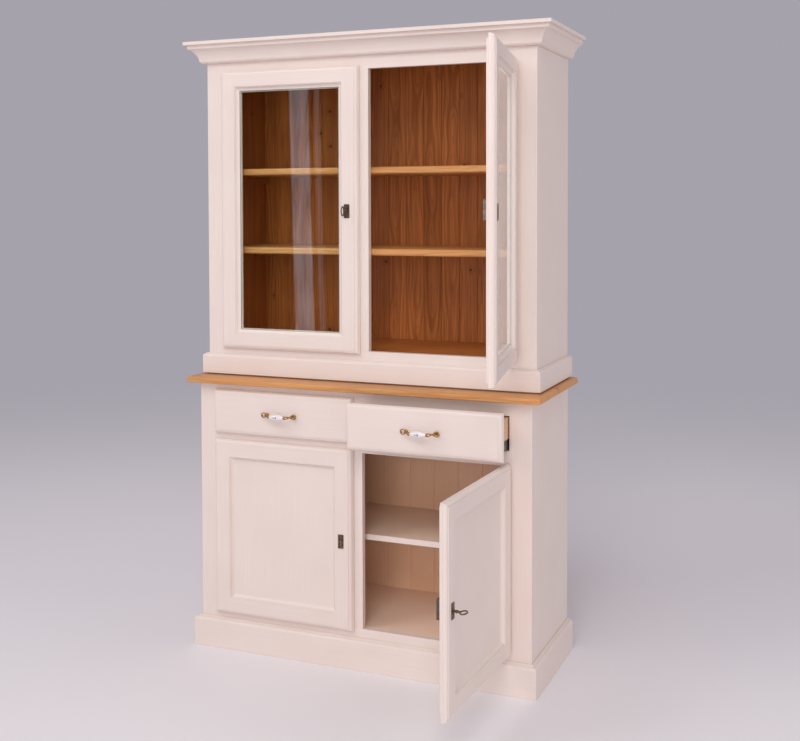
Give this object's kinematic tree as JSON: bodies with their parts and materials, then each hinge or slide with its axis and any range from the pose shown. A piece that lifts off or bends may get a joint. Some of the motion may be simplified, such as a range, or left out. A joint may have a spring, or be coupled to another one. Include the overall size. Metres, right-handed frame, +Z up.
{
  "type": "step back cupboard",
  "caption": "Step back cupboard: glazed shelved case set back on a deeper drawer and cupboard case, with hinged lipped doors, sliding drawers, locks, plinth and cornice.",
  "frame": {"origin": "centre of the plinth's footprint, on the floor, under the middle plinth bearer", "axes": "+X to the right seen from the front, +Y to the back, +Z up"},
  "size_m": [1.25, 0.9263, 2],
  "materials": {
    "cream_paint": "hand painted softwood, eggshell",
    "inner_paint": "painted softwood inside the lower case, eggshell",
    "waxed_pine": "waxed pine, satin",
    "brown_pine": "stained and waxed pine, satin",
    "bare_pine": "planed pine, unfinished",
    "window_glass": "clear float glass",
    "aged_brass": "antique brass, worn",
    "porcelain": "glazed porcelain",
    "steel": "bright steel",
    "nylon": "moulded nylon"
  },
  "bodies": {
    "case": {"base_moulding": "cream_paint", "cornice": "cream_paint", "frame_hinge_leaves": "steel", "inner_battens": "bare_pine", "lower_back_boards": "inner_paint", "lower_face_frame": "cream_paint", "lower_floor": "inner_paint", "lower_shelf": "inner_paint", "lower_sides": "cream_paint", "plinth": "cream_paint", "plinth_bearers": "bare_pine", "runner_channels": "steel", "upper_back_boards": "brown_pine", "upper_face_frame": "cream_paint", "upper_shelves": "brown_pine", "upper_sides": "cream_paint", "upper_top_and_floor": "brown_pine", "worktop": "waxed_pine"},
    "upper_left_door": {"upper_left_door_beads": "cream_paint", "upper_left_door_frame": "cream_paint", "upper_left_door_glass": "window_glass", "upper_left_door_hinge_leaves": "steel", "upper_left_door_key_plate": "aged_brass", "upper_left_door_lock": "steel"},
    "upper_left_door_bolt": {"upper_left_door_bolt": "steel"},
    "upper_left_door_key": {"upper_left_door_key": "aged_brass"},
    "upper_right_door": {"upper_right_door_beads": "cream_paint", "upper_right_door_frame": "cream_paint", "upper_right_door_glass": "window_glass", "upper_right_door_hinge_leaves": "steel", "upper_right_door_key_plate": "aged_brass", "upper_right_door_lock": "steel"},
    "upper_right_door_bolt": {"upper_right_door_bolt": "steel"},
    "lower_left_door": {"lower_left_door_frame": "cream_paint", "lower_left_door_hinge_leaves": "steel", "lower_left_door_key_plate": "aged_brass", "lower_left_door_lock": "steel", "lower_left_door_panel": "cream_paint"},
    "lower_left_door_bolt": {"lower_left_door_bolt": "steel"},
    "lower_right_door": {"lower_right_door_frame": "cream_paint", "lower_right_door_hinge_leaves": "steel", "lower_right_door_key_plate": "aged_brass", "lower_right_door_lock": "steel", "lower_right_door_panel": "cream_paint"},
    "lower_right_door_bolt": {"lower_right_door_bolt": "steel"},
    "lower_right_door_key": {"lower_right_door_key": "aged_brass"},
    "left_drawer": {"left_drawer_box": "bare_pine", "left_drawer_front": "cream_paint", "left_drawer_handle_bow": "aged_brass", "left_drawer_handle_grip": "porcelain", "left_drawer_runners": "steel"},
    "left_drawer_front_rollers": {"left_drawer_front_rollers": "nylon"},
    "left_drawer_rear_rollers": {"left_drawer_rear_rollers": "nylon"},
    "right_drawer": {"right_drawer_box": "bare_pine", "right_drawer_front": "cream_paint", "right_drawer_handle_bow": "aged_brass", "right_drawer_handle_grip": "porcelain", "right_drawer_runners": "steel"},
    "right_drawer_front_rollers": {"right_drawer_front_rollers": "nylon"},
    "right_drawer_rear_rollers": {"right_drawer_rear_rollers": "nylon"}
  },
  "joints": [
    {"name": "upper_left_door_hinge", "type": "hinge", "parent": "case", "child": "upper_left_door", "pos_m": [-0.5035, -0.1605, 1.444], "axis": [0, 0, -1], "range_deg": [0, 105]},
    {"name": "upper_left_door_bolt_slide", "type": "slide", "parent": "upper_left_door", "child": "upper_left_door_bolt", "axis": [1, 0, 0], "range_m": [0, 0.009]},
    {"name": "upper_left_door_key_turn", "type": "hinge", "parent": "upper_left_door", "child": "upper_left_door_key", "pos_m": [-0.047, -0.167, 1.442], "axis": [0, -1, 0], "range_deg": [0, 90]},
    {"name": "upper_right_door_hinge", "type": "hinge", "parent": "case", "child": "upper_right_door", "pos_m": [0.5035, -0.1605, 1.444], "axis": [0, 0, 1], "range_deg": [-100.5, 4.5]},
    {"name": "upper_right_door_bolt_slide", "type": "slide", "parent": "upper_right_door", "child": "upper_right_door_bolt", "axis": [0.1822, -0.9833, 0], "range_m": [0, 0.009]},
    {"name": "lower_left_door_hinge", "type": "hinge", "parent": "case", "child": "lower_left_door", "pos_m": [-0.5035, -0.2135, 0.4065], "axis": [0, 0, -1], "range_deg": [0, 105]},
    {"name": "lower_left_door_bolt_slide", "type": "slide", "parent": "lower_left_door", "child": "lower_left_door_bolt", "axis": [1, 0, 0], "range_m": [0, 0.009]},
    {"name": "lower_right_door_hinge", "type": "hinge", "parent": "case", "child": "lower_right_door", "pos_m": [0.5035, -0.2135, 0.4065], "axis": [0, 0, 1], "range_deg": [-87.6, 17.4]},
    {"name": "lower_right_door_bolt_slide", "type": "slide", "parent": "lower_right_door", "child": "lower_right_door_bolt", "axis": [-0.0419, -0.9991, 0], "range_m": [0, 0.009]},
    {"name": "lower_right_door_key_turn", "type": "hinge", "parent": "lower_right_door", "child": "lower_right_door_key", "pos_m": [0.49088, -0.66987, 0.404], "axis": [-0.9991, 0.0419, 0], "range_deg": [0, 90]},
    {"name": "left_drawer_slide", "type": "slide", "parent": "case", "child": "left_drawer", "axis": [0, -1, 0], "range_m": [0, 0.28]},
    {"name": "left_drawer_front_roller_turn", "type": "hinge", "parent": "case", "child": "left_drawer_front_rollers", "pos_m": [0, -0.161, 0.7532], "axis": [1, 0, 0], "range_deg": [0, 1459]},
    {"name": "left_drawer_rear_roller_turn", "type": "hinge", "parent": "left_drawer", "child": "left_drawer_rear_rollers", "pos_m": [0, 0.1505, 0.7428], "axis": [1, 0, 0], "range_deg": [0, 1459]},
    {"name": "right_drawer_slide", "type": "slide", "parent": "case", "child": "right_drawer", "axis": [0, -1, 0], "range_m": [-0.084, 0.196]},
    {"name": "right_drawer_front_roller_turn", "type": "hinge", "parent": "case", "child": "right_drawer_front_rollers", "pos_m": [0, -0.161, 0.7532], "axis": [1, 0, 0], "range_deg": [-438, 1021]},
    {"name": "right_drawer_rear_roller_turn", "type": "hinge", "parent": "right_drawer", "child": "right_drawer_rear_rollers", "pos_m": [0, 0.0665, 0.7428], "axis": [1, 0, 0], "range_deg": [-438, 1021]}
  ],
  "couplings": [
    {"joint": "upper_left_door_bolt_slide", "follows": "upper_left_door_key_turn", "m_per_rad": 0.0057296},
    {"joint": "lower_right_door_bolt_slide", "follows": "lower_right_door_key_turn", "m_per_rad": 0.0057296},
    {"joint": "left_drawer_front_roller_turn", "follows": "left_drawer_slide", "rad_per_m": 90.909},
    {"joint": "left_drawer_rear_roller_turn", "follows": "left_drawer_slide", "rad_per_m": 90.909},
    {"joint": "right_drawer_front_roller_turn", "follows": "right_drawer_slide", "rad_per_m": 90.909},
    {"joint": "right_drawer_rear_roller_turn", "follows": "right_drawer_slide", "rad_per_m": 90.909}
  ]
}
